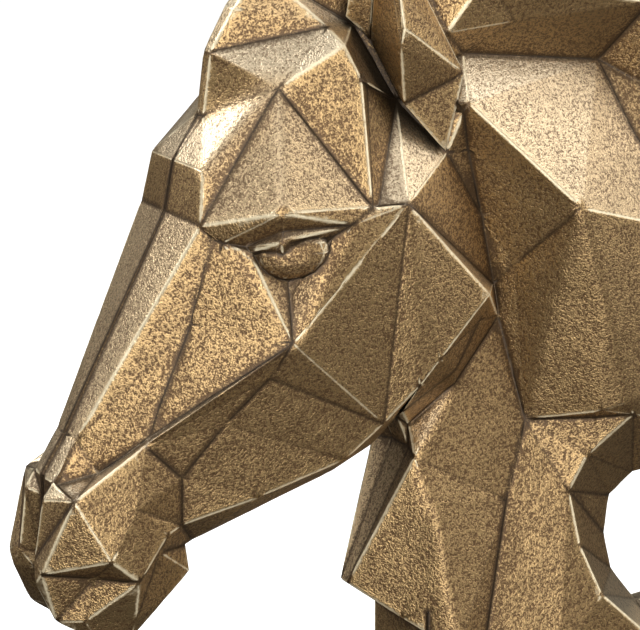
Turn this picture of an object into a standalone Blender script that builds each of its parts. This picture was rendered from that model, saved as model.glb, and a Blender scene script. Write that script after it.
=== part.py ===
"""Faceted horse head sculpture: one casting with its ears, eyes and plain foot.

Blender 4.5, metres, +Z up. The horse faces -X, its middle plane is Y = 0, and the origin is
the centre of the foot's underside. The head is a free form, so its corners are shares of
BUST_HEIGHT. The foot has sizes of its own, and the bust stands on it.
"""
from math import cos, radians, sin

import bmesh
import bpy
from mathutils import Vector
from mathutils.geometry import delaunay_2d_cdt

# Driving dimensions, in metres
BUST_HEIGHT = 0.320         # from the lowest corner of the rim to the tips of the ears
FOOT_LENGTH = 0.150
FOOT_WIDTH = 0.090
FOOT_LIP = 0.006            # height of the foot's upright edge
FOOT_SLOPE = 0.008          # height of its sloping top, up to the stem
FOOT_EDGE = 0.0012          # bevel round the foot's edges
STEM_FRONT = -0.0595        # where the stem's front face stands, ahead of the foot's middle
STEM_LENGTH = 0.082
STEM_WIDTH = 0.046
STEM_RISE = 0.006           # from the top of the foot to the lowest corner of the rim
STEM_ROOT = 0.030           # how far the stem runs up past that corner, inside the bust
GROOVE_WIDTH = 0.0030       # of the line down the middle of the face, at its wide end
GROOVE_DEPTH = 0.0020

# The sketch: a view from 27 degrees in front of the near side and 14 degrees above, with
# SKETCH_STEP millimetres to one step where the view is aimed. Its lengths are those of a bust
# SKETCH_HEIGHT millimetres high, with the lowest corner of the rim at RIM_LEVEL.
SKETCH_TURN = radians(-27.0)
SKETCH_RISE = radians(14.0)
SKETCH_STEP = 0.4
SKETCH_DISTANCE = 1000.0
SKETCH_CENTRE = (320.0, 315.0)
SKETCH_AIM = Vector((-97.5, 0.0, 175.0))
SKETCH_HEIGHT = 320.0
RIM_LEVEL = 20.0
SCALE = BUST_HEIGHT / SKETCH_HEIGHT

MERGE = 0.00005

# Corners of the near half. Each is (across, down, out): its place in the sketch, in steps,
# and how far it stands out from the middle plane, in sketch millimetres.
FOREHEAD = {
    "forelock_tip": (262, -30, 5),
    "forelock": (233, 8, 4),
    "keel_top": (210, 52, 3),
    "keel_end": (203, 116, 3),
    "temple": (202, 171, 24),
    "brow_inner": (200, 226, 28),
    "fossa": (278, 88, 26),
    "fossa_top": (328, 27, 22),
    "fossa_rear": (345, 45, 31),
    "temple_rear": (362, 80, 34),
}
BROW_AND_EYE = {
    "brow_peak": (283, 214, 47),
    "brow_rear": (373, 208, 42),
    "arch_end": (409, 204, 42),
    "eye_front": (222, 243, 31),
    "under_brow": (245, 247, 33),
    "tear": (250, 252, 35),
    "lid_mid": (284, 231, 42),
    "lid_low": (281, 243, 44),
    "lid_rear": (352, 225, 44),
    "under_eye": (288, 283, 37),
    "under_rear": (334, 236, 42),
    "crest_node": (293, 344, 45),
}
FACE = {
    "bridge_low": (76, 440, 10),
    "bridge_end": (53, 483, 10),
    "groove_top": (210, 238, 29),
    "groove_mid": (191, 325, 26),
    "groove_low": (160, 405, 23),
    "groove_end": (150, 437, 22),
    "crest_low": (270, 378, 38),
    "valley_mid": (225, 425, 30),
    "valley_low": (182, 478, 23),
    "jaw_edge_front": (182, 525, 20),
    "jaw_edge_mid": (260, 497, 25),
    "jaw_edge_rear": (345, 460, 30),
    "cheek_low": (384, 424, 32),
    "jaw_corner": (490, 294, 32),
    "jaw_ridge_high": (440, 360, 36),
    "jaw_ridge_low": (420, 386, 35),
    "bevel_top": (480, 320, 25),
    "bevel_mid": (456, 370, 26),
    "bevel_low": (402, 412, 24),
}
MUZZLE = {
    "nostril_ridge": (145, 446, 25),
    "dip_front": (57, 486, 10),
    "dip_mid": (98, 474, 14),
    "muzzle_fold": (138, 510, 28),
    "nostril_top": (74, 502, 26),
    "nostril_front": (41, 575, 18),
    "nostril_rear": (112, 563, 30),
    "nostril_slit": (95, 578, 20),
    "lip_front_high": (42, 500, 9),
    "lip_front_low": (34, 560, 8),
    "lip_round": (35, 583, 12),
    "lip_tip": (56, 622, 14),
    "lip_low": (85, 622, 18),
    "mouth_corner": (140, 583, 28),
    "mouth_front": (100, 642, 14),
    "mouth_top": (168, 535, 23),
    "mouth_slip": (160, 552, 21),
    "mouth_low": (136, 621, 18),
    "chin_front": (130, 640, 13),
    "chin_low": (165, 600, 12),
    "chin_back": (190, 571, 10),
    "chin_nick": (186, 545, 10),
    "jaw_start": (192, 540, 9),
    "jaw_mid": (330, 472, 10),
    "jaw_rear": (372, 444, 10),
}
EAR_GROUND = {
    "step_top": (367, 86, 27),
    "step_low": (379, 206, 39),
    "cavity_top": (352, 24, 11),
    "cavity_low": (396, 100, 16),
    "ear_ground": (447, 153, 25),
    "crease_top": (464, 112, 28),
    "crease_high": (468, 150, 23),
    "crease_mid": (481, 215, 18),
    "crease_low": (493, 284, 13),
}
NECK = {
    "bend_front": (469, 103, 31),
    "bend_rear": (582, 208, 48),
    "neck_hollow": (515, 264, 21),
    "soft_ridge": (556, 300, 34),
    "neck_node": (525, 419, 17),
    "neck_gap": (498, 316, 13),
    "throat": (397, 416, 7),
    "throat_in": (408, 424, 9),
    "throat_ridge": (455, 382, 15),
    "neck_front": (409, 447, 7),
    "side_ridge_high": (414, 457, 18),
    "side_ridge_mid": (428, 505, 22),
    "side_ridge_low": (458, 652, 31),
    "valley_neck": (506, 500, 20),
    "valley_rim": (482, 662, 27),
    "chest": (347, 583, 3),
    "rim_front": (402, 618, 16),
    "rim_low": (560, 662, 34),
    "tail_low": (688, 620, 15),
    "tail_top": (687, 596, 9),
    "nape_low": (635, 599, 3),
    "nape_lower": (611, 568, 3),
    "nape_mid": (604, 533, 3),
    "nape_upper": (609, 495, 3),
    "nape_high": (632, 472, 3),
    "back_high": (596, 417, 30),
    "back_mid": (588, 455, 28),
    "back_kink": (569, 491, 26),
    "back_low": (580, 545, 29),
    "back_flare": (602, 594, 32),
    "back_rim": (660, 644, 30),
}
MANE = {
    "crest_front": (530, -52, 8),
    "crest_mid": (654, -14, 9),
    "crest_rear": (738, 104, 11),
    "mane_back_high": (778, 240, 12),
    "mane_back": (770, 368, 12),
    "mane_tip": (722, 452, 10),
    "mane_under": (668, 462, 5),
    "poll": (400, -70, 8),
    "roll_front": (486, -22, 31),
    "roll_rear": (650, 2, 31),
    "roll_end": (706, 106, 28),
    "fold_front": (447, 33, 25),
    "fold_mid": (515, 21, 24),
    "crest_in_front": (463, 53, 15),
    "crest_in": (598, 59, 12),
    "side_top": (634, 79, 18),
    "side_in": (634, 133, 24),
    "hair_ridge": (604, 300, 44),
    "hair_low": (629, 402, 39),
    "hair_out": (700, 232, 37),
    "hair_out_low": (712, 352, 33),
    "mane_edge_in": (602, 411, 35),
    "mane_edge_mid": (634, 414, 36),
    "mane_edge_out": (700, 430, 25),
}
CORNERS = {**FOREHEAD, **BROW_AND_EYE, **FACE, **MUZZLE, **EAR_GROUND, **NECK, **MANE}

# The near half's outline against the middle plane, from the forelock down the face and round
OUTLINE = """
    forelock_tip forelock keel_top keel_end temple brow_inner bridge_low bridge_end lip_front_high
    lip_front_low lip_round lip_tip mouth_front chin_front chin_low chin_back chin_nick jaw_start
    jaw_mid jaw_rear throat neck_front chest rim_front
    side_ridge_low valley_rim rim_low back_rim tail_low tail_top nape_low
    nape_lower nape_mid nape_upper nape_high mane_under mane_tip mane_back mane_back_high crest_rear crest_mid crest_front poll
""".split()

# Ridges and creases that must stay edges of the facets, a chain of corners on each line
CREASES = """
    keel_top fossa brow_inner
    keel_top fossa_top fossa brow_rear
    brow_peak fossa temple_rear
    fossa_top fossa_rear temple_rear brow_rear
    brow_inner brow_peak brow_rear arch_end
    brow_inner groove_top eye_front crest_node arch_end
    eye_front under_brow tear under_eye crest_node
    under_brow lid_mid lid_rear lid_low tear
    brow_rear lid_rear arch_end
    under_eye under_rear lid_rear
    groove_top groove_mid groove_low groove_end nostril_ridge
    crest_node nostril_ridge muzzle_fold mouth_corner
    groove_end dip_mid dip_front bridge_end
    nostril_ridge nostril_top bridge_end
    lip_front_high nostril_top nostril_front lip_round
    nostril_top nostril_rear nostril_front nostril_slit mouth_corner
    nostril_rear mouth_corner mouth_top mouth_slip mouth_low chin_front
    mouth_corner lip_low
    crest_node crest_low valley_mid valley_low
    chin_nick jaw_edge_front jaw_edge_mid jaw_edge_rear cheek_low arch_end
    arch_end jaw_corner jaw_ridge_high jaw_ridge_low cheek_low throat
    jaw_corner bevel_top bevel_mid bevel_low throat
    temple_rear step_top step_low arch_end
    fossa_top cavity_top cavity_low arch_end
    cavity_low ear_ground crease_high
    crease_top crease_high crease_mid crease_low neck_gap neck_node
    crease_top bend_front bend_rear neck_hollow crease_low jaw_corner
    neck_hollow neck_node soft_ridge bend_rear
    bend_rear hair_ridge hair_low mane_edge_mid
    neck_node back_high mane_edge_in mane_edge_mid mane_edge_out mane_tip
    neck_node back_kink
    back_high back_mid back_kink back_low back_flare back_rim
    neck_node valley_neck valley_rim
    valley_neck rim_low back_kink
    neck_front side_ridge_high side_ridge_mid side_ridge_low
    side_ridge_high throat_ridge neck_gap
    throat throat_in neck_front
    fold_front fold_mid crest_in
    roll_front roll_rear roll_end
    crest_in_front crest_in side_top
    side_in crest_in bend_rear
    crest_in_front bend_front
""".strip().splitlines()

# How far the middle line stands ahead of the outline there (+) or lies back from it (-)
MIDDLE_AHEAD = {
    "keel_end": 1.0,
    "temple": 2.0,
    "brow_inner": 2.6,
    "bridge_low": 1.0,
    "bridge_end": 1.0,
    "lip_front_high": -4.0,
    "lip_front_low": -6.0,
    "lip_round": -5.0,
    "lip_tip": -3.0,
}
# Share of the groove's full width and depth at the corners that it runs past
GROOVE = {"temple": 0.3, "brow_inner": 0.5, "bridge_low": 1.0, "bridge_end": 1.0, "lip_front_high": 0.8}

# The ear is a cup of two thin walls that meet in a fold, with a lobe below the outer one:
# corners as for the head
EAR_OUTER_WALL = {
    "tip": (380, -96, 36),
    "rim_high": (398, -20, 42),
    "rim_bend": (405, 28, 43),
    "rim_knee": (401, 47, 41),
    "rim_low": (404, 104, 30),
    "back_corner": (464, 73, 29),
    "back_high": (431, 6, 29),
    "fold_low": (398, 96, 19),
    "fold_mid": (370, 40, 17),
    "root": (440, 100, 8),
    "root_high": (410, 10, 12),
}
EAR_LOBE = {
    "rim_low": (404, 104, 30),
    "low_tip": (446, 152, 28),
    "back_corner": (464, 73, 29),
    "fold_low": (398, 96, 19),
    "root": (440, 100, 8),
}
EAR_INNER_WALL = {
    "tip": (380, -96, 36),
    "rim_front": (352, -30, 24),
    "rim_foot": (345, 16, 15),
    "fold_mid": (370, 40, 15),
    "root_front": (360, 20, 6),
    "root": (410, 60, 5),
    "root_high": (410, -20, 12),
}
EYE_CENTRE = (290, 252, 37)
EYE_SIZE = Vector((15.5, 6.5, 10.5))       # half sizes in sketch millimetres: long, deep, high
EYE_TURN = radians(16.0)                   # the eye's front end turns in towards the bridge
EYE_SEGMENTS = 14
EYE_RINGS = 8


def clear_scene():
    """Remove the objects that a new scene starts with."""
    for item in list(bpy.data.objects):
        bpy.data.objects.remove(item, do_unlink=True)


def new_collection(name):
    """A collection linked to the scene."""
    collection = bpy.data.collections.new(name)
    bpy.context.scene.collection.children.link(collection)
    return collection


def sketch_axes():
    """The sketch's across, up and towards-the-eye directions."""
    towards = Vector((sin(SKETCH_TURN) * cos(SKETCH_RISE),
                      -cos(SKETCH_TURN) * cos(SKETCH_RISE),
                      sin(SKETCH_RISE)))
    across = Vector((cos(SKETCH_TURN), sin(SKETCH_TURN), 0.0))
    return across, towards.cross(across), towards


def place(corner):
    """The point in space of a sketch corner, in metres.

    The line of sight through the corner's place in the sketch is followed to the plane that
    lies its own distance out from the middle.
    """
    across, up, towards = sketch_axes()
    right = (corner[0] - SKETCH_CENTRE[0]) * SKETCH_STEP
    down = (corner[1] - SKETCH_CENTRE[1]) * SKETCH_STEP
    eye = SKETCH_AIM + towards * SKETCH_DISTANCE
    sight = SKETCH_AIM + across * right - up * down - eye
    point = eye + sight * ((-corner[2] - eye.y) / sight.y)
    rim = FOOT_LIP + FOOT_SLOPE + STEM_RISE
    return Vector((point.x * SCALE, point.y * SCALE, rim + (point.z - RIM_LEVEL) * SCALE))


def add_object(name, mesh, collection):
    """An object of its own for a bmesh, which is freed."""
    data = bpy.data.meshes.new(name)
    bmesh.ops.recalc_face_normals(mesh, faces=mesh.faces)
    mesh.to_mesh(data)
    mesh.free()
    item = bpy.data.objects.new(name, data)
    collection.objects.link(item)
    return item


def as_guide(item):
    """Mark an object as a construction piece, not a part of the sculpture."""
    item.hide_render = True
    item.display_type = "WIRE"
    return item


def facet_sheet(mesh):
    """Facets between the corners, with every crease kept; returns the corners' vertices."""
    names = list(CORNERS)
    number = {name: index for index, name in enumerate(names)}
    edges = {tuple(sorted((number[a], number[b]))) for a, b in zip(OUTLINE, OUTLINE[1:] + OUTLINE[:1])}
    for line in CREASES:
        chain = line.split()
        edges.update(tuple(sorted((number[a], number[b]))) for a, b in zip(chain, chain[1:]))
    flat = [Vector((CORNERS[name][0], -CORNERS[name][1])) for name in names]
    points, _, facets, sources, _, _ = delaunay_2d_cdt(flat, sorted(edges), [], 1, 0.0001)
    if len(points) != len(names):
        raise ValueError("two creases cross or two corners coincide in the sketch")
    vertices = {index: mesh.verts.new(place(CORNERS[names[source[0]]]))
                for index, source in enumerate(sources)}
    for facet in facets:
        mesh.faces.new([vertices[index] for index in facet])
    return {names[source[0]]: vertices[index] for index, source in enumerate(sources)}


def ring(mesh, above, places):
    """A closed strip from one ring of vertices to new ones at the given places."""
    below = [mesh.verts.new(point) for point in places]
    count = len(above)
    for index in range(count):
        after = (index + 1) % count
        mesh.faces.new((above[index], above[after], below[after], below[index]))
    return below


def outward(index, points):
    """The outline's outward direction in the middle plane at one of its corners."""
    before = points[index - 1]
    after = points[(index + 1) % len(points)]
    along = (after - before).normalized()
    return Vector((along.z, 0.0, -along.x))


def close_to_middle(mesh, vertices):
    """Strips from the outline to the middle plane, with the groove down the face."""
    outline = [vertices[name] for name in OUTLINE]
    edge = [vertex.co.copy() for vertex in outline]
    turning = sum(edge[i - 1].x * edge[i].z - edge[i].x * edge[i - 1].z for i in range(len(edge)))
    sign = 1.0 if turning > 0.0 else -1.0
    lips = []
    middles = []
    for index, name in enumerate(OUTLINE):
        out = outward(index, edge) * sign
        ahead = out * (MIDDLE_AHEAD.get(name, 0.0) * SCALE)
        share = GROOVE.get(name, 0.1)
        lip = edge[index] + ahead
        lip.y = -GROOVE_WIDTH / 2 * share
        lips.append(lip)
        middle = lip - out * (GROOVE_DEPTH * GROOVE.get(name, 0.0))
        middle.y = 0.0
        middles.append(middle)
    inner = ring(mesh, outline, lips)
    ring(mesh, inner, middles)


def make_bust(collection):
    """Head and neck: the near half's facets closed to the middle plane and mirrored."""
    mesh = bmesh.new()
    vertices = facet_sheet(mesh)
    close_to_middle(mesh, vertices)
    bust = add_object("horse_head", mesh, collection)
    mirror = bust.modifiers.new("both halves", "MIRROR")
    mirror.use_axis = (False, True, False)
    mirror.merge_threshold = MERGE
    return bust


def hull(name, corners, collection, far_side):
    """The convex solid over a set of sketch corners, on the near or the far side."""
    mesh = bmesh.new()
    for corner in corners:
        point = place(corner)
        if far_side:
            point.y = -point.y
        mesh.verts.new(point)
    bmesh.ops.convex_hull(mesh, input=mesh.verts)
    return as_guide(add_object(name, mesh, collection))


def make_ears(collection):
    """Both ears, each two walls with the open fold between them, and a lobe."""
    pieces = {"outer": EAR_OUTER_WALL, "lobe": EAR_LOBE, "inner": EAR_INNER_WALL}
    walls = []
    for side, far_side in (("near", False), ("far", True)):
        for wall, corners in pieces.items():
            walls.append(hull(f"{side}_ear_{wall}", corners.values(), collection, far_side))
    return walls


def make_eyes(collection):
    """Both eyeballs, set back under the lids."""
    eyes = []
    for side, sign in (("near", 1.0), ("far", -1.0)):
        mesh = bmesh.new()
        bmesh.ops.create_uvsphere(mesh, u_segments=EYE_SEGMENTS, v_segments=EYE_RINGS, radius=SCALE)
        eye = as_guide(add_object(f"{side}_eye", mesh, collection))
        eye.scale = EYE_SIZE
        eye.location = place(EYE_CENTRE)
        eye.location.y *= sign
        eye.rotation_euler = (0.0, 0.0, -EYE_TURN * sign)
        eyes.append(eye)
    return eyes


def block(name, length, width, bottom, top, collection):
    """A plain upright block over the middle of the foot."""
    mesh = bmesh.new()
    bmesh.ops.create_cube(mesh, size=1.0)
    bmesh.ops.scale(mesh, vec=(length, width, top - bottom), verts=mesh.verts)
    bmesh.ops.translate(mesh, vec=(0.0, 0.0, (top + bottom) / 2), verts=mesh.verts)
    return as_guide(add_object(name, mesh, collection))


def stem_middle():
    """How far the middle of the stem stands from the middle of the foot."""
    return STEM_FRONT + STEM_LENGTH / 2


def make_foot(collection):
    """The plain foot: a low block whose top slopes up to the stem."""
    foot = block("foot", FOOT_LENGTH, FOOT_WIDTH, 0.0, FOOT_LIP, collection)
    mesh = bmesh.new()
    mesh.from_mesh(foot.data)
    top = [face for face in mesh.faces if face.normal.z > 0.5]
    raised = bmesh.ops.extrude_face_region(mesh, geom=top)["geom"]
    corners = [item for item in raised if isinstance(item, bmesh.types.BMVert)]
    bmesh.ops.delete(mesh, geom=top, context="FACES_ONLY")
    bmesh.ops.scale(mesh, vec=(STEM_LENGTH / FOOT_LENGTH, STEM_WIDTH / FOOT_WIDTH, 1.0), verts=corners)
    bmesh.ops.translate(mesh, vec=(stem_middle(), 0.0, FOOT_SLOPE), verts=corners)
    mesh.to_mesh(foot.data)
    mesh.free()
    edges = foot.modifiers.new("soft edges", "BEVEL")
    edges.width = FOOT_EDGE
    edges.segments = 1
    return foot


def make_stem(collection):
    """The upright stem between the foot and the bust, with its ends inside both."""
    top = FOOT_LIP + FOOT_SLOPE + STEM_RISE + STEM_ROOT
    stem = block("stem", STEM_LENGTH, STEM_WIDTH, FOOT_LIP, top, collection)
    stem.location.x = stem_middle()
    return stem


def join(whole, pieces):
    """Boolean unions, so that all the pieces are one casting."""
    for piece in pieces:
        union = whole.modifiers.new(piece.name, "BOOLEAN")
        union.operation = "UNION"
        union.solver = "EXACT"
        union.object = piece


def antique_brass():
    """The finish: dark brown in the hollows with bright worn brass."""
    material = bpy.data.materials.new("antique brass")
    material.use_nodes = True
    shader = material.node_tree.nodes["Principled BSDF"]
    shader.inputs["Base Color"].default_value = (0.30, 0.21, 0.10, 1.0)
    shader.inputs["Metallic"].default_value = 0.9
    shader.inputs["Roughness"].default_value = 0.42
    return material


def main():
    """Build the sculpture."""
    clear_scene()
    sculpture = new_collection("horse_head_sculpture")
    guides = new_collection("construction_pieces")
    bust = make_bust(sculpture)
    join(bust, [make_foot(guides), make_stem(guides), *make_ears(guides), *make_eyes(guides)])
    bust.data.materials.append(antique_brass())


main()
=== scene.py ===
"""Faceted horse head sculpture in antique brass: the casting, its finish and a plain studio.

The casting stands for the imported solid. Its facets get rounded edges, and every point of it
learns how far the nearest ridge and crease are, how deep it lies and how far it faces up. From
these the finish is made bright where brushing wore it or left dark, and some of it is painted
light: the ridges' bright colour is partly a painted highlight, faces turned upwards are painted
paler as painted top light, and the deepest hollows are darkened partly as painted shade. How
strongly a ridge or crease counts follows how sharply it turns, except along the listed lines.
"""
import logging
from dataclasses import dataclass
from enum import Enum
from math import cos, pi, radians, sin, sqrt

import bmesh
import bpy
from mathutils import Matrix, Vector
from mathutils.bvhtree import BVHTree
from mathutils.geometry import intersect_point_line
from mathutils.kdtree import KDTree


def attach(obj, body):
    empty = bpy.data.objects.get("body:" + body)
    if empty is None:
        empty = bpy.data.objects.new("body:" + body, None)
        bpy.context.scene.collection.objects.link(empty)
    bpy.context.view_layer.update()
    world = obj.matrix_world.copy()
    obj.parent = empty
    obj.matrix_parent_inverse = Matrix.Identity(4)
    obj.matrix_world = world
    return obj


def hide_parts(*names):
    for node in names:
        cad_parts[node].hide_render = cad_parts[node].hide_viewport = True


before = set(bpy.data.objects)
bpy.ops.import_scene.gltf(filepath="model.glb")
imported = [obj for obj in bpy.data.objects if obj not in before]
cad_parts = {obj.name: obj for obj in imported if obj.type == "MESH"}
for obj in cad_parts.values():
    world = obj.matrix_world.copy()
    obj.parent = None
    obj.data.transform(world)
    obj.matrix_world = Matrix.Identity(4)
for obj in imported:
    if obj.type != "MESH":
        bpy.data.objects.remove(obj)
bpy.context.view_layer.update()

LOG = logging.getLogger("horse_head")

Colour = tuple[float, float, float]
Point = tuple[float, float, float]
Corner = tuple[float, float, float]

NODE = "horse_head"
BODY = "root"
MILLIMETRES = 1000.0        # in a metre
FARTHEST = 20.0             # the greatest distance that a point stores, in millimetres
BOTH_SIDES = (1.0, -1.0)    # the near side and the mirrored far side


class Fold(Enum):
    """How two facets meet at an edge."""

    RIDGE = "ridge"
    CREASE = "crease"
    FLAT = "flat"


class Mark(Enum):
    """What each point of the casting knows about its place; the names of its attributes."""

    TO_RIDGE = "to_ridge"
    RIDGE_TURN = "ridge_turn"
    TO_CREASE = "to_crease"
    CREASE_TURN = "crease_turn"
    HOLLOW = "hollow"
    # How far a point faces up; the finish paints top light from it.
    SKYWARD = "skyward"


@dataclass(frozen=True)
class PictureView:
    """Where the photograph was taken from, and how its places lead to points on the casting."""

    turn: float = radians(-27.0)
    rise: float = radians(14.0)
    distance: float = 1.0
    aim: Point = (-0.0975, 0.0, 0.175)
    lens: float = 140.625
    sensor: float = 36.0
    step: float = 0.0004
    centre: tuple[float, float] = (320.0, 315.0)

    def axes(self) -> tuple[Vector, Vector, Vector]:
        """The photograph's right, up and towards-the-camera directions."""
        level = cos(self.rise)
        back = Vector((sin(self.turn) * level, -cos(self.turn) * level, sin(self.rise)))
        right = Vector((cos(self.turn), sin(self.turn), 0.0))
        return right, back.cross(right), back

    def place(self, corner: Corner) -> Vector:
        """The point in space of a corner of the part's sketch.

        Args:
            corner: Its place across and down the photograph, in pixels, and how far it stands
                out from the middle plane, in millimetres.

        Returns:
            The point, in metres.
        """
        right, up, back = self.axes()
        across, down, out = corner
        shift = right * (across - self.centre[0]) - up * (down - self.centre[1])
        eye = Vector(self.aim) + back * self.distance
        sight = shift * self.step - back * self.distance
        return eye + sight * ((-out / MILLIMETRES - eye.y) / sight.y)


SKETCH: dict[str, Corner] = {
    "keel_top": (210, 52, 3),
    "keel_end": (203, 116, 3),
    "temple": (202, 171, 24),
    "fossa": (278, 88, 26),
    "brow_inner": (200, 226, 28),
    "brow_peak": (283, 214, 47),
    "brow_rear": (373, 208, 42),
    "arch_end": (409, 204, 42),
    "lid_rear": (352, 225, 44),
    "crest_node": (293, 344, 45),
    "crest_low": (270, 378, 38),
    "valley_mid": (225, 425, 30),
    "valley_low": (182, 478, 23),
    "groove_top": (210, 238, 29),
    "groove_mid": (191, 325, 26),
    "groove_low": (160, 405, 23),
    "groove_end": (150, 437, 22),
    "nostril_ridge": (145, 446, 25),
    "bevel_top": (480, 320, 25),
    "bevel_mid": (456, 370, 26),
    "bevel_low": (402, 412, 24),
    "throat_ridge": (455, 382, 15),
    "side_ridge_high": (414, 457, 18),
    "side_ridge_mid": (428, 505, 22),
    "side_ridge_low": (458, 652, 31),
    "bend_rear": (582, 208, 48),
    "soft_ridge": (556, 300, 34),
    "neck_node": (525, 419, 17),
    "valley_neck": (506, 500, 20),
    "valley_rim": (482, 662, 27),
    "hair_ridge": (604, 300, 44),
    "hair_low": (629, 402, 39),
    "mane_edge_mid": (634, 414, 36),
}


@dataclass(frozen=True)
class DrawnLine:
    """A ridge or crease whose strength is given, through corners of the part's sketch.

    A soft one is shaded round over the given distance, in metres.
    """

    fold: Fold
    strength: float
    chain: str
    soft: float = 0.0

    def stretches(self, view: PictureView, side: float = 1.0) -> list[tuple[Vector, Vector]]:
        """The straight stretches of the line, from corner to corner.

        Args:
            view: What leads from the sketch's corners to points in space.
            side: 1 for the near side of the casting and -1 for the far side.

        Returns:
            Each stretch's two ends, in metres.
        """
        mirror = Vector((1.0, side, 1.0))
        places = [view.place(SKETCH[name]) * mirror for name in self.chain.split()]
        return list(zip(places, places[1:]))


DRAWN_LINES = (
    DrawnLine(Fold.RIDGE, 0.95, "crest_node arch_end"),
    DrawnLine(Fold.RIDGE, 0.95, "brow_inner brow_peak brow_rear arch_end"),
    DrawnLine(Fold.RIDGE, 0.95, "keel_top keel_end temple brow_inner"),
    DrawnLine(Fold.CREASE, 0.55, "groove_top groove_mid groove_low groove_end"),
    DrawnLine(Fold.CREASE, 0.40, "crest_node crest_low valley_mid valley_low"),
    DrawnLine(Fold.CREASE, 0.60, "neck_node valley_neck valley_rim"),
    # Drawn at full strength along the jaw's underside: its dark band is partly the wash in the
    # crease and partly painted shade.
    DrawnLine(Fold.CREASE, 1.00, "bevel_low bevel_mid bevel_top"),
)
MUTED_LINES = (
    DrawnLine(Fold.RIDGE, 0.25, "lid_rear crest_node", 0.006),
    DrawnLine(Fold.RIDGE, 0.35, "crest_node nostril_ridge"),
    DrawnLine(Fold.RIDGE, 0.35, "fossa keel_top"),
    DrawnLine(Fold.RIDGE, 0.35, "brow_peak fossa", 0.004),
    DrawnLine(Fold.RIDGE, 0.20, "keel_end fossa temple", 0.010),
    DrawnLine(Fold.CREASE, 0.20, "keel_end fossa temple", 0.010),
    DrawnLine(Fold.RIDGE, 0.25, "throat_ridge side_ridge_high side_ridge_mid side_ridge_low", 0.006),
    DrawnLine(Fold.RIDGE, 0.35, "bend_rear hair_ridge hair_low mane_edge_mid", 0.004),
    DrawnLine(Fold.RIDGE, 0.40, "bend_rear soft_ridge neck_node", 0.004),
)


def deselect_everything() -> None:
    """Clear the selection, so that an operator acts on one piece alone."""
    bpy.ops.object.select_all(action="DESELECT")


def take(item: bpy.types.Object) -> None:
    """Make an object the only selected one, and the active one.

    Args:
        item: The object that the next operators act on.
    """
    deselect_everything()
    item.select_set(True)
    bpy.context.view_layer.objects.active = item


class Wiring:
    """Places nodes in a tree and joins their sockets."""

    columns = 9
    column_width = 180
    row_height = 220

    def __init__(self, tree: bpy.types.NodeTree) -> None:
        """Start on a tree.

        Args:
            tree: A material's or a group's node tree.
        """
        self.tree = tree
        self.count = 0

    def join(self, socket: bpy.types.NodeSocket, value: object) -> None:
        """Link a socket to another, or set its value.

        Args:
            socket: The input that is fed.
            value: An output socket, or a plain value.
        """
        if isinstance(value, bpy.types.NodeSocket):
            self.tree.links.new(value, socket)
        else:
            socket.default_value = value

    def node(self, kind: str, settings: dict | None = None, **inputs: object) -> bpy.types.Node:
        """Add a node.

        Args:
            kind: The node's Blender type.
            settings: Its properties by name.
            inputs: Its inputs, each named with _ for a space.

        Returns:
            The new node.
        """
        made = self.tree.nodes.new(kind)
        row, column = divmod(self.count, self.columns)
        made.location = (self.column_width * column, -self.row_height * row)
        self.count += 1
        for name, value in (settings or {}).items():
            setattr(made, name, value)
        for name, value in inputs.items():
            self.join(made.inputs[name.replace("_", " ")], value)
        return made

    def math(self, operation: str, first: object, second: object = 0.0,
             third: object = 0.0) -> bpy.types.NodeSocket:
        """A Math node's result.

        Args:
            operation: What it does, by Blender's name.
            first: Its first input.
            second: Its second input.
            third: Its third input.

        Returns:
            The output socket.
        """
        made = self.node("ShaderNodeMath", {"operation": operation})
        for socket, value in zip(made.inputs, (first, second, third)):
            self.join(socket, value)
        return made.outputs["Value"]

    def span(self, value: object, low: object, high: object) -> bpy.types.NodeSocket:
        """A smooth step of a value from 0 at low to 1 at high.

        Args:
            value: What is measured.
            low: Where the step starts.
            high: Where it ends.

        Returns:
            The output socket, from 0 to 1.
        """
        made = self.node("ShaderNodeMapRange", {"interpolation_type": "SMOOTHSTEP"})
        for name, fed in (("Value", value), ("From Min", low), ("From Max", high)):
            self.join(made.inputs[name], fed)
        return made.outputs["Result"]

    def blend(self, share: object, first: object, second: object) -> bpy.types.NodeSocket:
        """A mix of two colours.

        Args:
            share: How much of the second colour.
            first: The colour at 0, or its socket.
            second: The colour at 1, or its socket.

        Returns:
            The mixed colour's socket.
        """
        made = self.node("ShaderNodeMix", {"data_type": "RGBA"})
        self.join(made.inputs["Factor"], share)
        for name, fed in (("A", first), ("B", second)):
            socket = next(s for s in made.inputs if s.name == name and s.type == "RGBA")
            self.join(socket, (*fed, 1.0) if isinstance(fed, tuple) else fed)
        return next(s for s in made.outputs if s.type == "RGBA")

    def noise(self, place: object, size: float, detail: float = 3.0,
              rough: float = 0.5) -> bpy.types.NodeSocket:
        """Noise with lumps of a given size.

        Args:
            place: The coordinates it reads.
            size: The lumps' size, in metres.
            detail: How many finer layers it has.
            rough: How strong the finer layers are.

        Returns:
            The noise value's socket.
        """
        made = self.node("ShaderNodeTexNoise", Vector=place, Scale=1.0 / size, Detail=detail,
                         Roughness=rough)
        return made.outputs["Fac"]


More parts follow.
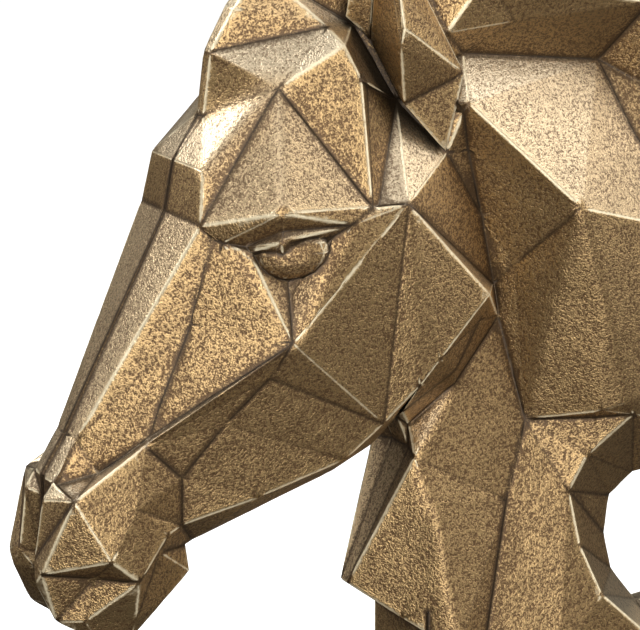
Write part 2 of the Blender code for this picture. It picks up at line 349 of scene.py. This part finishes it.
class EffectGroup:
    """A shader node group with named inputs and outputs, built once."""

    def __init__(self, name: str, inputs: dict[str, tuple[str, object]],
                 outputs: dict[str, str]) -> None:
        """Make the group's tree and its sockets.

        Args:
            name: The group's name.
            inputs: Each input's socket type and usual value, by its name.
            outputs: Each output's socket type, by its name.
        """
        self.tree = bpy.data.node_groups.new(name, "ShaderNodeTree")
        for label, (kind, usual) in inputs.items():
            socket = self.tree.interface.new_socket(name=label, in_out="INPUT", socket_type=kind)
            if usual is not None:
                socket.default_value = usual
        for label, kind in outputs.items():
            self.tree.interface.new_socket(name=label, in_out="OUTPUT", socket_type=kind)
        self.wiring = Wiring(self.tree)
        self.source = self.tree.nodes.new("NodeGroupInput")
        self.result = self.tree.nodes.new("NodeGroupOutput")
        self.result.location = (2000, 0)

    def fed(self, label: str) -> bpy.types.NodeSocket:
        """The socket that brings an input into the group."""
        return self.source.outputs[label]

    def give(self, label: str, value: bpy.types.NodeSocket) -> None:
        """Send a value out of the group by one of its outputs."""
        self.tree.links.new(value, self.result.inputs[label])

    def place_in(self, wiring: Wiring, **inputs: object) -> bpy.types.Node:
        """Put the group into a material.

        Args:
            wiring: The material's wiring.
            inputs: The group's inputs in this material, named with _ for a space.

        Returns:
            The group's node.
        """
        made = wiring.node("ShaderNodeGroup", {"node_tree": self.tree})
        for name, value in inputs.items():
            wiring.join(made.inputs[name.replace("_", " ")], value)
        return made


@dataclass(frozen=True)
class SandyGrain:
    """The sand-cast surface: grains of about a millimetre, finer ones on them and rare dents."""

    grain: float = 0.0014
    fine: float = 0.0007
    dents: float = 0.0075
    waves: float = 0.020
    grain_share: float = 0.68
    fine_share: float = 0.32
    dent_height: float = 0.7
    wave_height: float = 1.5
    cloud_from: float = 0.3
    cloud_to: float = 0.7

    def group(self) -> EffectGroup:
        """Build the grain's node group.

        Returns:
            The group, with Height, Sand and Cloud outputs.
        """
        made = EffectGroup(
            "sandy grain",
            {"Vector": ("NodeSocketVector", None), "Smoothness": ("NodeSocketFloat", 0.0)},
            {"Height": "NodeSocketFloat", "Sand": "NodeSocketFloat", "Cloud": "NodeSocketFloat"},
        )
        wiring = made.wiring
        place = made.fed("Vector")
        grains = wiring.noise(place, self.grain, 3.0, 0.6)
        fine = wiring.noise(place, self.fine, 1.0, 0.5)
        dents = wiring.noise(place, self.dents, 2.0, 0.5)
        waves = wiring.noise(place, self.waves, 1.0, 0.5)
        finest = wiring.math("MULTIPLY", fine, self.fine_share)
        sand = wiring.math("MULTIPLY_ADD", grains, self.grain_share, finest)
        rough = wiring.math("SUBTRACT", 1.0, made.fed("Smoothness"))
        broadest = wiring.math("MULTIPLY", waves, self.wave_height)
        broad = wiring.math("MULTIPLY_ADD", dents, self.dent_height, broadest)
        made.give("Height", wiring.math("MULTIPLY_ADD", sand, rough, broad))
        made.give("Sand", sand)
        made.give("Cloud", wiring.span(dents, self.cloud_from, self.cloud_to))
        return made


@dataclass(frozen=True)
class EdgeWearAndHighlight:
    """Where brushing has left the ridges bright, with a softer golden border beside them; both are
    partly brushed gold and partly a painted highlight and glow.

    Distances from a ridge or crease are in millimetres.
    """

    least_width: float = 0.25
    width: float = 0.5
    inner: float = 0.3
    outer: float = 1.8
    border: float = 4.5
    ragged: float = 0.0018
    ragged_least: float = 0.2
    ragged_range: float = 1.6
    turn_from: float = 0.15
    turn_to: float = 0.90
    full_wear_at: float = 0.5
    sheltered: float = 0.85
    in_the_open: float = 0.45
    crease_near: float = 0.7
    crease_clear: float = 1.8

    def group(self) -> EffectGroup:
        """Build the node group of the ridges' brushed gold and painted highlight.

        Returns:
            The group, with Wear and Border outputs.
        """
        made = EffectGroup(
            "edge wear and highlight",
            {"Vector": ("NodeSocketVector", None), "Distance": ("NodeSocketFloat", FARTHEST),
             "Turn": ("NodeSocketFloat", 0.0), "Hollow": ("NodeSocketFloat", 0.0),
             "To Crease": ("NodeSocketFloat", FARTHEST)},
            {"Wear And Highlight": "NodeSocketFloat", "Border": "NodeSocketFloat"},
        )
        wiring = made.wiring
        distance, turn = made.fed("Distance"), made.fed("Turn")
        ragged = wiring.noise(made.fed("Vector"), self.ragged, 3.0, 0.6)
        open_air = wiring.math(
            "MULTIPLY", wiring.span(made.fed("Hollow"), self.sheltered, self.in_the_open),
            wiring.span(made.fed("To Crease"), self.crease_near, self.crease_clear))
        sharp = wiring.math("MULTIPLY", wiring.span(turn, self.turn_from, self.turn_to), open_air)
        reach = wiring.math("MULTIPLY_ADD", sharp, self.width, self.least_width)
        uneven = wiring.math("MULTIPLY_ADD", ragged, self.ragged_range, self.ragged_least)
        reach = wiring.math("MULTIPLY", reach, uneven)
        close = wiring.span(distance, wiring.math("MULTIPLY", reach, self.outer),
                            wiring.math("MULTIPLY", reach, self.inner))
        # Partly brushed gold on the ridges and partly a painted highlight.
        worn_and_highlit = wiring.math("MULTIPLY", close, wiring.span(sharp, 0.0, self.full_wear_at))
        made.give("Wear And Highlight", worn_and_highlit)
        # The border: more gold beside sharp ridges, partly brushed gold and partly a painted glow.
        beside = wiring.span(distance, self.border, self.inner)
        made.give("Border", wiring.math("MULTIPLY", beside, sharp))
        return made


@dataclass(frozen=True)
class PatinaAndShade:
    """Where the dark wash has stayed: a smooth band along each crease, and deep hollows, whose
    darkness is partly the wash and partly painted shade.

    Distances from a crease are in millimetres.
    """

    band: float = 2.6
    band_least: float = 0.4
    band_range: float = 0.6
    band_inner: float = 0.2
    line: float = 0.9
    line_inner: float = 0.1
    fade: float = 13.0
    ragged: float = 0.004
    turn_from: float = 0.06
    turn_to: float = 0.55
    deep_ragged: float = 0.2
    deep_from: float = 0.38
    deep_to: float = 0.85

    def group(self) -> EffectGroup:
        """Build the node group of the dark wash and the painted shade.

        Returns:
            The group, with Band, Line, Fade and Deep outputs.
        """
        made = EffectGroup(
            "patina and shade",
            {"Vector": ("NodeSocketVector", None), "Distance": ("NodeSocketFloat", FARTHEST),
             "Turn": ("NodeSocketFloat", 0.0), "Hollow": ("NodeSocketFloat", 0.0)},
            {"Band": "NodeSocketFloat", "Line": "NodeSocketFloat", "Fade": "NodeSocketFloat",
             "Deep": "NodeSocketFloat"},
        )
        wiring = made.wiring
        distance = made.fed("Distance")
        turn = wiring.span(made.fed("Turn"), self.turn_from, self.turn_to)
        ragged = wiring.noise(made.fed("Vector"), self.ragged, 3.0, 0.6)
        reach = wiring.math("MULTIPLY",
                            wiring.math("MULTIPLY_ADD", turn, self.band_range, self.band_least),
                            wiring.math("MULTIPLY_ADD", ragged, self.band, self.band / 2))
        band = wiring.span(distance, reach, wiring.math("MULTIPLY", reach, self.band_inner))
        line = wiring.span(distance, self.line, self.line_inner)
        fade = wiring.span(distance, self.fade, 0.0)
        hollow = wiring.math("MULTIPLY_ADD", ragged, self.deep_ragged, made.fed("Hollow"))
        made.give("Band", wiring.math("MULTIPLY", band, wiring.math("POWER", turn, 0.5)))
        made.give("Line", wiring.math("MULTIPLY", line, turn))
        made.give("Fade", wiring.math("MULTIPLY", fade, turn))
        # Deep: how closed in a point is; its darkening is partly the wash in hollows and partly
        # painted shade.
        made.give("Deep", wiring.span(hollow, self.deep_from, self.deep_to))
        return made


@dataclass(frozen=True)
class AntiqueBrass:
    """The finish: dark brown in the pits and creases, brass on the faces, bright on the ridges.
    The ridges' near-white, less metallic colour is partly brushed gold and partly a painted
    highlight; faces turned upwards are painted paler as painted top light; and the deepest
    hollows are darkened partly by the dark wash and partly as painted shade.

    The golden part of the grain covers more or less of a place by the pushes, and each share
    says how strongly a colour takes over where its mask is full.
    """

    # The dark brown of the wash; laid into the deep hollows it is also painted shade.
    wash: Colour = (0.022, 0.014, 0.007)
    brown: Colour = (0.155, 0.086, 0.036)
    # The paler brown and the creamy brass below are what faces turned upwards take: painted top
    # light.
    toplit_brown: Colour = (0.370, 0.290, 0.190)
    band: Colour = (0.085, 0.058, 0.034)
    brass: Colour = (0.600, 0.395, 0.180)
    toplit_brass: Colour = (0.800, 0.710, 0.540)
    # The near-white of the ridges: brushed gold, made this pale partly as a painted highlight.
    bright: Colour = (1.000, 0.860, 0.580)
    # How far a face turns upwards where the painted top light starts and where it is full.
    up_from: float = 0.20
    up_to: float = 0.75
    cover: float = 0.50
    cover_edge: float = 0.11
    border_push: float = 0.14
    cloud_push: float = 0.03
    band_push: float = -0.08
    fade_push: float = -0.05
    # More gold on faces turned upwards, as painted top light.
    toplight_push: float = 0.06
    toplight_brass_share: float = 0.7
    toplight_brown_share: float = 0.6
    band_share: float = 0.45
    line_share: float = 0.85
    # How strongly the deep hollows darken: partly the wash, partly painted shade.
    deep_wash_and_shade_share: float = 0.8
    wear_and_highlight_share: float = 0.92
    metallic: float = 0.92
    brown_less_metallic: float = 0.25
    # Less metallic on the ridges, so that they stay bright under any light: a painted highlight.
    highlight_less_metallic: float = 0.65
    roughness: float = 0.36
    brown_rougher: float = 0.12
    smoothing: float = 0.75
    grain_depth: float = 0.00045
    coat: float = 0.12
    coat_roughness: float = 0.35

    def material(self) -> bpy.types.Material:
        """Build the material.

        Returns:
            The material for the whole casting.
        """
        made = bpy.data.materials.new("antique brass")
        made.use_nodes = True
        tree = made.node_tree
        tree.nodes.clear()
        wiring = Wiring(tree)
        place = wiring.node("ShaderNodeTexCoord").outputs["Object"]
        marks = {}
        for mark in Mark:
            reader = wiring.node("ShaderNodeAttribute", {"attribute_name": mark.value})
            marks[mark] = reader.outputs["Fac"]
        wear_and_highlight = EdgeWearAndHighlight().group().place_in(
            wiring, Vector=place, Distance=marks[Mark.TO_RIDGE], Turn=marks[Mark.RIDGE_TURN],
            Hollow=marks[Mark.HOLLOW], To_Crease=marks[Mark.TO_CREASE])
        wash_and_shade_masks = PatinaAndShade().group().place_in(
            wiring, Vector=place, Distance=marks[Mark.TO_CREASE], Turn=marks[Mark.CREASE_TURN],
            Hollow=marks[Mark.HOLLOW])
        worn_and_highlit, border = wear_and_highlight.outputs["Wear And Highlight"], wear_and_highlight.outputs["Border"]
        band, line, fade, deep = (wash_and_shade_masks.outputs[name] for name in ("Band", "Line", "Fade", "Deep"))
        smooth = wiring.math("MULTIPLY", wiring.math("MAXIMUM", band, worn_and_highlit), self.smoothing)
        grain = SandyGrain().group().place_in(wiring, Vector=place, Smoothness=smooth)
        # Painted top light: faces turned upwards are made paler, creamier and more golden.
        painted_toplight = wiring.span(marks[Mark.SKYWARD], self.up_from, self.up_to)
        level = grain.outputs["Sand"]
        for mask, push in ((border, self.border_push), (grain.outputs["Cloud"], self.cloud_push),
                           (band, self.band_push), (fade, self.fade_push),
                           (painted_toplight, self.toplight_push)):
            level = wiring.math("MULTIPLY_ADD", mask, push, level)
        gold = wiring.span(level, self.cover - self.cover_edge, self.cover + self.cover_edge)
        toplight_brass_mask = wiring.math("MULTIPLY", painted_toplight, self.toplight_brass_share)
        toplight_brown_mask = wiring.math("MULTIPLY", painted_toplight, self.toplight_brown_share)
        brass = wiring.blend(toplight_brass_mask, self.brass, self.toplit_brass)
        brown = wiring.blend(toplight_brown_mask, self.brown, self.toplit_brown)
        face = wiring.blend(gold, brown, brass)
        # The dark band and line along creases, the deep hollows darkened partly as painted shade,
        # and the ridges' near-white that is partly a painted highlight.
        for mask, share, colour in ((band, self.band_share, self.band),
                                    (line, self.line_share, self.wash),
                                    (deep, self.deep_wash_and_shade_share, self.wash),
                                    (worn_and_highlit, self.wear_and_highlight_share, self.bright)):
            face = wiring.blend(wiring.math("MULTIPLY", mask, share), face, colour)
        rough = wiring.math("MULTIPLY_ADD", gold, -self.brown_rougher,
                            self.roughness + self.brown_rougher)
        metal = wiring.math("MULTIPLY_ADD", gold, self.brown_less_metallic,
                            self.metallic - self.brown_less_metallic)
        metal = wiring.math("MULTIPLY_ADD", worn_and_highlit, -self.highlight_less_metallic, metal)
        bump = wiring.node("ShaderNodeBump", Height=grain.outputs["Height"],
                           Distance=self.grain_depth, Strength=1.0)
        shader = wiring.node("ShaderNodeBsdfPrincipled")
        wiring.join(shader.inputs["Base Color"], face)
        wiring.join(shader.inputs["Roughness"], rough)
        wiring.join(shader.inputs["Metallic"], metal)
        wiring.join(shader.inputs["Normal"], bump.outputs["Normal"])
        shader.inputs["Coat Weight"].default_value = self.coat
        shader.inputs["Coat Roughness"].default_value = self.coat_roughness
        output = wiring.node("ShaderNodeOutputMaterial")
        tree.links.new(shader.outputs["BSDF"], output.inputs["Surface"])
        return made


@dataclass
class Casting:
    """The one-piece casting: head, neck, ears, eyes, stem and foot, with soft edges."""

    name: str = "horse_head_casting"
    merge: float = 0.00002
    flat_turn: float = radians(0.6)
    soft_width: float = 0.0009
    room: float = 2.0
    soften: float = 0.5
    most_soften: float = 0.0005
    longest_edge: float = 0.0056
    passes: int = 5
    sharp_turn: float = radians(3.0)
    full_turn: float = radians(55.0)
    sample_step: float = 0.0006
    hollow_rays: int = 24
    hollow_reach: float = 0.055
    hollow_lift: float = 0.0004
    grazing: float = 0.05
    eye_corner: Corner = (290, 252, 37)
    eye_size: Point = (0.0155, 0.0065, 0.0105)
    eye_turn: float = radians(16.0)
    eye_share: float = 0.93
    near_line: float = 0.0012
    past_end: float = 0.05
    groove_half: float = 0.0017
    groove_rear: float = -0.155
    groove_foot: float = 0.095
    same_side: float = 0.4
    soft_stride: int = 3
    view: PictureView = PictureView()

    def __post_init__(self) -> None:
        """Work out where the near eyeball's middle is."""
        self.eye_middle = self.view.place(self.eye_corner)

    def on_eyeball(self, place: Vector) -> bool:
        """Whether a point lies on one of the two eyeballs, which have no facets.

        Args:
            place: The point.

        Returns:
            True on an eyeball's surface.
        """
        across = place.x - self.eye_middle.x
        out = abs(place.y) - abs(self.eye_middle.y)
        up = place.z - self.eye_middle.z
        along = across * cos(self.eye_turn) - out * sin(self.eye_turn)
        deep = across * sin(self.eye_turn) + out * cos(self.eye_turn)
        share = Vector((along / self.eye_size[0], deep / self.eye_size[1], up / self.eye_size[2]))
        return self.eye_share < share.length < 2.0 - self.eye_share

    def shell(self) -> bpy.types.Object:
        """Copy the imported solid's mesh and merge it into clean facets.

        Returns:
            The casting's object, with sharp edges.
        """
        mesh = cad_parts[NODE].data.copy()
        mesh.name = self.name
        mesh.materials.clear()
        item = bpy.data.objects.new(self.name, mesh)
        bpy.context.scene.collection.objects.link(item)
        take(item)
        bpy.ops.object.mode_set(mode="EDIT")
        bpy.ops.mesh.select_all(action="SELECT")
        bpy.ops.mesh.remove_doubles(threshold=self.merge)
        bpy.ops.mesh.dissolve_limited(angle_limit=self.flat_turn)
        bpy.ops.mesh.quads_convert_to_tris(quad_method="BEAUTY", ngon_method="BEAUTY")
        bpy.ops.object.mode_set(mode="OBJECT")
        return item

    def fold_of(self, edge: bmesh.types.BMEdge) -> Fold:
        """How the facets on both sides of an edge meet.

        Args:
            edge: An edge of the sharp shell.

        Returns:
            Ridge, crease or flat.
        """
        if len(edge.link_faces) != 2:
            return Fold.FLAT
        if all(self.on_eyeball(vertex.co) for face in edge.link_faces for vertex in face.verts):
            return Fold.FLAT
        turn = edge.calc_face_angle_signed()
        if abs(turn) < self.sharp_turn:
            return Fold.FLAT
        return Fold.RIDGE if turn > 0.0 else Fold.CREASE

    def samples(self, item: bpy.types.Object) -> dict[Fold, list[tuple[Vector, float]]]:
        """Points along every ridge and crease, with how sharply each turns.

        Args:
            item: The sharp shell.

        Returns:
            For ridges and for creases, the points and their turns from 0 to 1.
        """
        mesh = bmesh.new()
        mesh.from_mesh(item.data)
        mesh.normal_update()
        found: dict[Fold, list[tuple[Vector, float]]] = {Fold.RIDGE: [], Fold.CREASE: []}
        for edge in mesh.edges:
            fold = self.fold_of(edge)
            if fold is Fold.FLAT:
                continue
            first, last = (vertex.co for vertex in edge.verts)
            turn = min(1.0, abs(edge.calc_face_angle_signed()) / self.full_turn)
            turn *= self.share_left(fold, first, last)
            if self.in_groove(first) and self.in_groove(last):
                fold, turn = Fold.CREASE, 1.0
            if turn > 0.0:
                found[fold] += self.along(first, last, turn)
        mesh.free()
        for line in DRAWN_LINES:
            for side in BOTH_SIDES:
                for first, last in line.stretches(self.view, side):
                    found[line.fold] += self.along(first, last, line.strength)
        return found

    def along(self, first: Vector, last: Vector, turn: float) -> list[tuple[Vector, float]]:
        """Closely spaced points from one place to another, all with the same turn.

        Args:
            first: Where the line starts.
            last: Where it ends.
            turn: The turn from 0 to 1.

        Returns:
            The points with their turn.
        """
        steps = max(1, round((last - first).length / self.sample_step))
        return [(first.lerp(last, index / steps), turn) for index in range(steps + 1)]

    def in_groove(self, place: Vector) -> bool:
        """Whether a point is in the groove down the middle of the face, or on its lips.

        Args:
            place: The point.

        Returns:
            True in the groove, where the darkest wash has stayed.
        """
        return (abs(place.y) < self.groove_half and place.x < self.groove_rear
                and place.z > self.groove_foot)

    def lies_on(self, line: DrawnLine, first: Vector, last: Vector) -> bool:
        """Whether an edge lies on one of the listed lines, on either side of the middle.

        Args:
            line: The line.
            first: The edge's first end.
            last: The edge's last end.

        Returns:
            True when both ends are on the same stretch of the line.
        """
        ends = [Vector((point.x, -abs(point.y), point.z)) for point in (first, last)]
        for start, stop in line.stretches(self.view):
            near = True
            for end in ends:
                foot, share = intersect_point_line(end, start, stop)
                beside = -self.past_end < share < 1.0 + self.past_end
                near = near and beside and (foot - end).length < self.near_line
            if near:
                return True
        return False

    def share_left(self, fold: Fold, first: Vector, last: Vector) -> float:
        """How strongly an edge still counts beside the listed lines.

        Args:
            fold: Whether the edge is a ridge or a crease.
            first: The edge's first end.
            last: The edge's last end.

        Returns:
            1 for most edges, less on a muted line, and 0 where a line of the other kind is drawn.
        """
        for line in MUTED_LINES:
            if line.fold is fold and self.lies_on(line, first, last):
                return line.strength
        for line in DRAWN_LINES:
            if line.fold is not fold and self.lies_on(line, first, last):
                return 0.0
        return 1.0

    def inner_circle(self, mesh: bpy.types.Mesh,
                     polygon: bpy.types.MeshPolygon) -> tuple[Vector, float]:
        """The circle that touches a three-sided facet's sides.

        Args:
            mesh: The casting's mesh.
            polygon: One of its facets.

        Returns:
            The circle's middle and its radius.
        """
        corners = [mesh.vertices[index].co for index in polygon.vertices]
        facing = [(corners[index - 2] - corners[index - 1]).length for index in range(3)]
        around = max(sum(facing), self.merge)
        middle = sum((corner * side for corner, side in zip(corners, facing)), Vector()) / around
        return middle, 2.0 * polygon.area / around

    def inset_facets(self, item: bpy.types.Object) -> None:
        """Inset each facet by a narrow border, as wide as it has room for.

        Args:
            item: The casting.
        """
        mesh = item.data
        chosen = []
        for polygon in mesh.polygons:
            smooth = all(self.on_eyeball(mesh.vertices[index].co) for index in polygon.vertices)
            chosen.append(not smooth and self.inner_circle(mesh, polygon)[1] > self.merge)
        mesh.vertices.foreach_set("select", [False] * len(mesh.vertices))
        mesh.edges.foreach_set("select", [False] * len(mesh.edges))
        mesh.polygons.foreach_set("select", chosen)
        bpy.ops.object.mode_set(mode="EDIT")
        bpy.ops.mesh.select_mode(type="FACE")
        bpy.ops.mesh.inset(thickness=0.0, use_individual=True)
        bpy.ops.object.mode_set(mode="OBJECT")
        for polygon in mesh.polygons:
            if not polygon.select:
                continue
            middle, radius = self.inner_circle(mesh, polygon)
            width = min(self.soft_width, radius / self.room)
            for index in polygon.vertices:
                vertex = mesh.vertices[index]
                vertex.co = middle.lerp(vertex.co, 1.0 - width / radius)

    def divide_facets(self, item: bpy.types.Object) -> None:
        """Halve long edges until none is longer than the longest that is wanted.

        Args:
            item: The casting.
        """
        mesh = item.data
        for _ in range(self.passes):
            long = [(mesh.vertices[a].co - mesh.vertices[b].co).length > self.longest_edge
                    for a, b in (edge.vertices for edge in mesh.edges)]
            bpy.ops.object.mode_set(mode="EDIT")
            bpy.ops.mesh.select_mode(type="EDGE")
            bpy.ops.mesh.select_all(action="DESELECT")
            bpy.ops.object.mode_set(mode="OBJECT")
            mesh.edges.foreach_set("select", long)
            bpy.ops.object.mode_set(mode="EDIT")
            bpy.ops.mesh.subdivide(number_cuts=1, ngon=False, quadcorner="INNERVERT")
            bpy.ops.object.mode_set(mode="OBJECT")

    def round_soft_folds(self, mesh: bmesh.types.BMesh, normals: list[Vector]) -> list[Vector]:
        """Shade the soft folds round over a few millimetres.

        Args:
            mesh: The casting's mesh, inset and divided.
            normals: Its points' flat normals.

        Returns:
            The points' normals, turned towards their neighbours' beside the soft folds.
        """
        tree = KDTree(len(mesh.verts))
        for index, vertex in enumerate(mesh.verts):
            tree.insert(vertex.co, index)
        tree.balance()
        beside: dict[int, tuple[float, float]] = {}
        for line in (one for one in MUTED_LINES if one.soft > 0.0):
            stretches = [pair for side in BOTH_SIDES for pair in line.stretches(self.view, side)]
            for start, stop in stretches:
                for place, _ in self.along(start, stop, 0.0)[::self.soft_stride]:
                    for _, index, gap in tree.find_range(place, line.soft):
                        share = 1.0 - gap / line.soft
                        beside[index] = max(beside.get(index, (0.0, 0.0)), (share, line.soft))
        turned = list(normals)
        for index, (share, reach) in beside.items():
            own = normals[index]
            mean = Vector()
            for _, other, gap in tree.find_range(mesh.verts[index].co, reach):
                if normals[other].dot(own) > self.same_side:
                    mean += normals[other] * (1.0 - gap / reach)
            if mean.length > 0.0:
                turned[index] = own.lerp(mean.normalized(), sqrt(share)).normalized()
        return turned

    def soften_edges(self, item: bpy.types.Object) -> list[Vector]:
        """Draw every ridge and crease in a little, and shade it round between flat facets.

        Args:
            item: The casting, inset and divided.

        Returns:
            The normal that each point is shaded with.
        """
        mesh = bmesh.new()
        mesh.from_mesh(item.data)
        mesh.normal_update()
        sharp = {edge for edge in mesh.edges if self.fold_of(edge) is not Fold.FLAT}
        moved = {}
        for vertex in mesh.verts:
            if not any(edge in sharp for edge in vertex.link_edges):
                continue
            beside = [edge.other_vert(vertex).co for edge in vertex.link_edges if edge not in sharp]
            if not beside:
                continue
            shift = (sum(beside, Vector()) / len(beside) - vertex.co) * self.soften
            if shift.length > self.most_soften:
                shift *= self.most_soften / shift.length
            moved[vertex] = vertex.co + shift
        mesh.verts.ensure_lookup_table()
        normals = self.round_soft_folds(mesh, [vertex.normal.copy() for vertex in mesh.verts])
        for vertex, place in moved.items():
            vertex.co = place
        mesh.to_mesh(item.data)
        mesh.free()
        bpy.ops.object.shade_smooth()
        item.data.normals_split_custom_set_from_vertices(normals)
        return normals

    def write_mark(self, item: bpy.types.Object, mark: Mark, values: list[float]) -> None:
        """Store one value for each point of the casting.

        Args:
            item: The casting.
            mark: Which attribute.
            values: One value a point.
        """
        layer = item.data.attributes.new(mark.value, "FLOAT", "POINT")
        layer.data.foreach_set("value", values)

    def mark_folds(self, item: bpy.types.Object,
                   samples: dict[Fold, list[tuple[Vector, float]]]) -> None:
        """Store how far each point is from the nearest ridge and crease, in millimetres.

        Args:
            item: The casting.
            samples: Points along the ridges and creases of the sharp shell.
        """
        for fold, far_mark, turn_mark in ((Fold.RIDGE, Mark.TO_RIDGE, Mark.RIDGE_TURN),
                                          (Fold.CREASE, Mark.TO_CREASE, Mark.CREASE_TURN)):
            tree = KDTree(len(samples[fold]))
            for index, (place, _) in enumerate(samples[fold]):
                tree.insert(place, index)
            tree.balance()
            far, turns = [], []
            for vertex in item.data.vertices:
                _, index, gap = tree.find(vertex.co)
                far.append(min(MILLIMETRES * gap, FARTHEST))
                turns.append(samples[fold][index][1])
            self.write_mark(item, far_mark, far)
            self.write_mark(item, turn_mark, turns)

    def sky(self) -> list[Vector]:
        """Evenly spread directions over a sphere, for the rays that feel for hollows."""
        golden = pi * (3.0 - sqrt(5.0))
        found = []
        for index in range(self.hollow_rays):
            height = 1.0 - 2.0 * (index + 0.5) / self.hollow_rays
            ring = sqrt(1.0 - height * height)
            found.append(Vector((ring * cos(golden * index), ring * sin(golden * index), height)))
        return found

    def mark_hollows(self, item: bpy.types.Object) -> None:
        """Store how closed in each point is, from 0 on an open face to 1.

        Args:
            item: The casting.
        """
        mesh = item.data
        tree = BVHTree.FromPolygons([vertex.co for vertex in mesh.vertices],
                                    [polygon.vertices for polygon in mesh.polygons])
        sky = self.sky()
        values = []
        for vertex in mesh.vertices:
            normal = vertex.normal
            start = vertex.co + normal * self.hollow_lift
            blocked = total = 0.0
            for direction in sky:
                weight = direction.dot(normal)
                if weight <= self.grazing:
                    continue
                total += weight
                _, _, _, gap = tree.ray_cast(start, direction, self.hollow_reach)
                if gap is not None:
                    blocked += weight * (1.0 - gap / self.hollow_reach)
            values.append(blocked / max(total, 1e-9))
        self.write_mark(item, Mark.HOLLOW, values)

    def build(self) -> bpy.types.Object:
        """Make, mark and dress the casting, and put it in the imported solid's place.

        Returns:
            The casting's object.
        """
        item = self.shell()
        samples = self.samples(item)
        take(item)
        self.inset_facets(item)
        self.divide_facets(item)
        normals = self.soften_edges(item)
        self.mark_folds(item, samples)
        self.mark_hollows(item)
        # How far each point faces up, from which the finish paints top light.
        self.write_mark(item, Mark.SKYWARD, [normal.z for normal in normals])
        item.data.materials.append(AntiqueBrass().material())
        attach(item, BODY)
        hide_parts(NODE)
        return item


@dataclass(frozen=True)
class SoftLight:
    """A square soft light that faces the sculpture."""

    name: str
    towards: Point
    strength: float
    size: float = 0.7
    distance: float = 1.2
    colour: Colour = (1.0, 1.0, 1.0)


@dataclass
class Studio:
    """The pale floor, the soft lights and the camera at the photograph's place."""

    view: PictureView = PictureView()
    middle: Point = (-0.05, 0.0, 0.18)
    nearest_seen: float = 0.02
    farthest_seen: float = 60.0
    floor_radius: float = 12.0
    floor_corners: int = 64
    floor_grey: float = 0.90
    floor_roughness: float = 0.9
    floor_glow: float = 1.0
    lights: tuple[SoftLight, ...] = (
        SoftLight("right_high", (0.70, 0.70, 0.10), 6.0),
        SoftLight("right_front_high", (0.45, 0.65, 0.60), 1.0),
        SoftLight("front_high", (0.0, 0.65, 0.75), 2.5),
        SoftLight("left_high", (-0.70, 0.70, 0.10), 11.0),
        SoftLight("front", (0.0, 0.0, 1.0), 6.5),
        SoftLight("front_low", (0.25, -0.45, 0.85), 4.2),
        SoftLight("right", (1.0, 0.10, 0.10), 3.2),
        SoftLight("left", (-1.0, 0.10, 0.0), 1.0),
    )
    surroundings: float = 0.04

    def add_camera(self) -> bpy.types.Object:
        """Put the camera where the photograph was taken.

        Returns:
            The camera.
        """
        back = self.view.axes()[2]
        place = Vector(self.view.aim) + back * self.view.distance
        bpy.ops.object.camera_add(location=place)
        camera = bpy.context.object
        camera.name = "camera"
        camera.rotation_mode = "QUATERNION"
        camera.rotation_quaternion = (-back).to_track_quat("-Z", "Y")
        camera.data.lens = self.view.lens
        camera.data.sensor_width = self.view.sensor
        camera.data.clip_start = self.nearest_seen
        camera.data.clip_end = self.farthest_seen
        bpy.context.scene.camera = camera
        return camera

    def add_light(self, light: SoftLight) -> bpy.types.Object:
        """Hang one soft light.

        Args:
            light: Its place in the photograph's directions, size and strength.

        Returns:
            The light.
        """
        right, up, back = self.view.axes()
        across, rise, ahead = light.towards
        way = (right * across + up * rise + back * ahead).normalized()
        bpy.ops.object.light_add(type="AREA", location=Vector(self.middle) + way * light.distance)
        lamp = bpy.context.object
        lamp.name = light.name
        lamp.rotation_mode = "QUATERNION"
        lamp.rotation_quaternion = way.to_track_quat("Z", "Y")
        lamp.data.shape = "SQUARE"
        lamp.data.size = light.size
        lamp.data.energy = light.strength
        lamp.data.color = light.colour
        return lamp

    def add_floor(self) -> bpy.types.Object:
        """Lay the pale floor that the sculpture stands on.

        Returns:
            The floor.
        """
        bpy.ops.mesh.primitive_circle_add(vertices=self.floor_corners, radius=self.floor_radius,
                                          fill_type="NGON")
        floor = bpy.context.object
        floor.name = "floor"
        material = bpy.data.materials.new("pale floor")
        material.use_nodes = True
        shader = material.node_tree.nodes["Principled BSDF"]
        grey = self.floor_grey
        shader.inputs["Base Color"].default_value = (grey, grey, grey, 1.0)
        shader.inputs["Roughness"].default_value = self.floor_roughness
        shader.inputs["Emission Color"].default_value = (1.0, 1.0, 1.0, 1.0)
        shader.inputs["Emission Strength"].default_value = self.floor_glow
        floor.data.materials.append(material)
        floor.visible_glossy = False
        floor.visible_diffuse = False
        floor.visible_shadow = False
        return floor

    def add_surroundings(self) -> bpy.types.World:
        """Surround the sculpture with a pale even room.

        Returns:
            The world.
        """
        world = bpy.data.worlds.new("studio")
        world.use_nodes = True
        tree = world.node_tree
        tree.nodes.clear()
        wiring = Wiring(tree)
        seen = wiring.node("ShaderNodeLightPath").outputs["Is Camera Ray"]
        strength = wiring.math("MULTIPLY_ADD", seen, 1.0 - self.surroundings, self.surroundings)
        room = wiring.node("ShaderNodeBackground", Color=(1.0, 1.0, 1.0, 1.0), Strength=strength)
        output = wiring.node("ShaderNodeOutputWorld")
        tree.links.new(room.outputs["Background"], output.inputs["Surface"])
        bpy.context.scene.world = world
        return world

    def build(self) -> None:
        """Make the camera, the floor, the room and the lights."""
        deselect_everything()
        self.add_camera()
        self.add_floor()
        self.add_surroundings()
        for light in self.lights:
            self.add_light(light)
        scene = bpy.context.scene
        scene.view_settings.view_transform = "Standard"
        scene.view_settings.look = "None"


def main() -> None:
    """Build the casting and the studio in order."""
    logging.basicConfig(level=logging.INFO, format="%(name)s: %(message)s")
    casting = Casting().build()
    LOG.info("%s: %d points, %d faces", casting.name, len(casting.data.vertices),
             len(casting.data.polygons))
    Studio().build()
    LOG.info("studio: camera, floor, room and lights")


if __name__ == "__main__":
    main()
